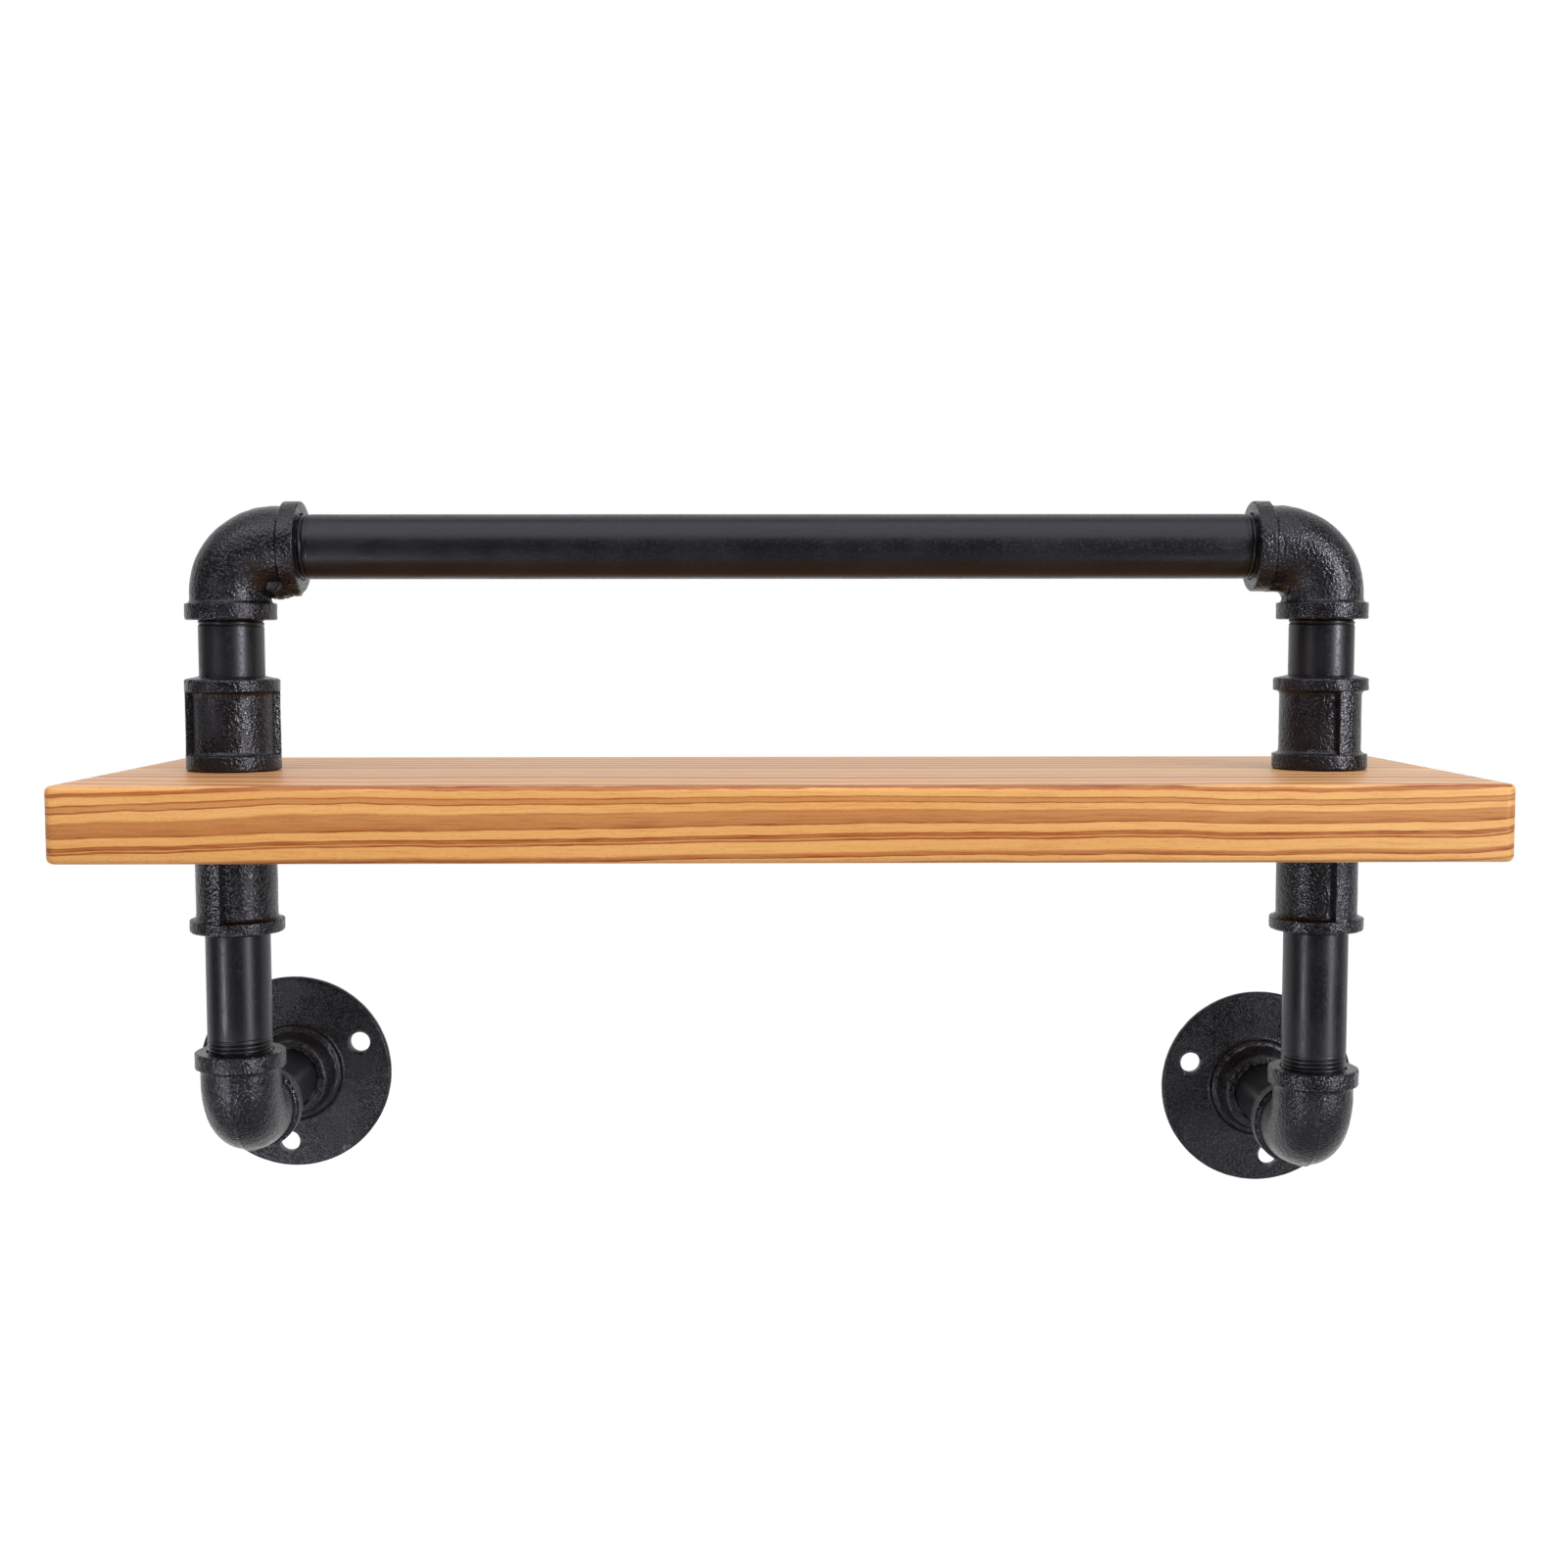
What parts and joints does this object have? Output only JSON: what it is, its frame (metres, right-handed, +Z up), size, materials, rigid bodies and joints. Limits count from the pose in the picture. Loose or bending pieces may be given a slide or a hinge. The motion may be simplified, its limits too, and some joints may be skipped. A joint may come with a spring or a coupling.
{
  "type": "pipe shelf",
  "caption": "Wall shelf: a pine board held by black iron pipe legs on round wall flanges, with a pipe rail across the top.",
  "frame": {"origin": "on the wall face, half way between the two legs, level with the left wall flange's centre", "axes": "+X to the right along the board, +Y into the wall, +Z up"},
  "size_m": [0.555, 0.1885, 0.3154],
  "materials": {
    "casting": "black paint over sand casting",
    "pipe": "satin black",
    "board": "clear satin varnish on pine"
  },
  "bodies": {
    "frame": {"shelf_board": "board", "top_rail": "pipe", "left_lower_nipple": "pipe", "left_lower_coupling": "casting", "left_board_nipple": "pipe", "left_upper_coupling": "casting", "left_upper_nipple": "pipe", "left_upper_elbow": "casting", "right_lower_nipple": "pipe", "right_lower_coupling": "casting", "right_board_nipple": "pipe", "right_upper_coupling": "casting", "right_upper_nipple": "pipe", "right_upper_elbow": "casting"},
    "left_arm": {"left_lower_elbow": "casting", "left_wall_nipple": "pipe"},
    "left_flange": {"left_wall_flange": "casting"},
    "right_arm": {"right_lower_elbow": "casting", "right_wall_nipple": "pipe"},
    "right_flange": {"right_wall_flange": "casting"}
  },
  "joints": [
    {"name": "left_arm_turn", "type": "hinge", "parent": "frame", "child": "left_arm", "pos_m": [-0.2285, -0.0975, 0.0305], "axis": [0, 0, 1], "range_deg": [-90, 90]},
    {"name": "left_flange_turn", "type": "hinge", "parent": "left_arm", "child": "left_flange", "pos_m": [-0.2285, -0.018, 0], "axis": [0, 1, 0], "range_deg": [-60, 60]},
    {"name": "right_arm_turn", "type": "hinge", "parent": "frame", "child": "right_arm", "pos_m": [0.2285, -0.0975, 0.0222], "axis": [0, 0, 1], "range_deg": [-90, 90]},
    {"name": "right_flange_turn", "type": "hinge", "parent": "right_arm", "child": "right_flange", "pos_m": [0.2285, -0.018, -0.0083], "axis": [0, 1, 0], "range_deg": [-60, 60]}
  ]
}
